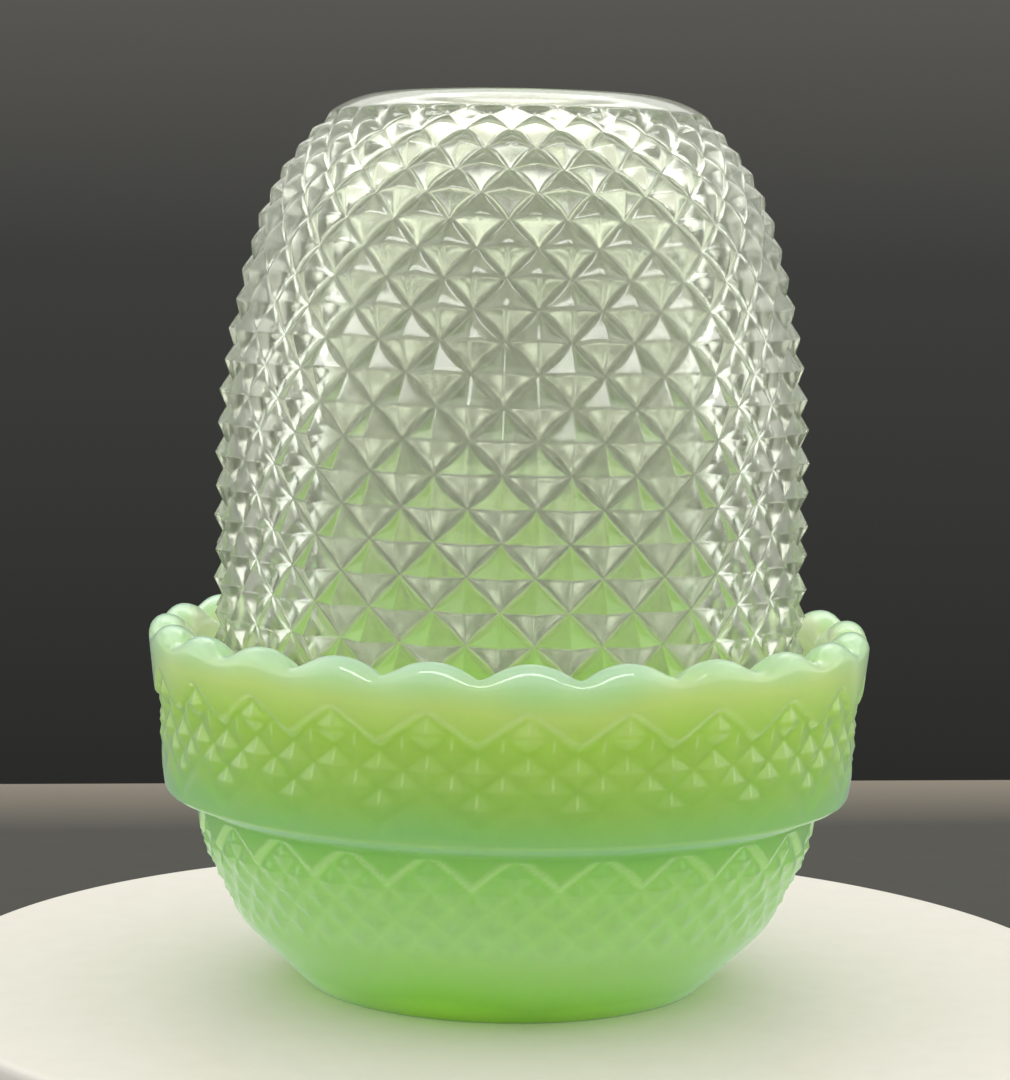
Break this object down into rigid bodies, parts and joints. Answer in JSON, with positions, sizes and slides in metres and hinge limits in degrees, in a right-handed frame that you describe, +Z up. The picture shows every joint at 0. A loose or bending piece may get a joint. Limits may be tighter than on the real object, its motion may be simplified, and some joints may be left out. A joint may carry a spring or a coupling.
{
  "type": "glass candle lamp",
  "caption": "Pressed-glass candle lamp: a clear diamond-point dome with an open vent lifts out of a scalloped opalescent green bowl.",
  "frame": {"origin": "centre of the face that the foot stands on", "axes": "+Z up along the lamp's axis; -Y is the front, X across"},
  "size_m": [0.1194, 0.1194, 0.1466],
  "materials": {
    "green_glass": "opalescent pressed glass, gloss",
    "clear_glass": "clear pressed glass, gloss"
  },
  "bodies": {
    "base": {"base_bowl": "green_glass"},
    "dome": {"glass_dome": "clear_glass"}
  },
  "joints": [
    {"name": "dome_lift", "type": "slide", "parent": "base", "child": "dome", "axis": [0, 0, 1], "range_m": [0, 0.06]}
  ]
}
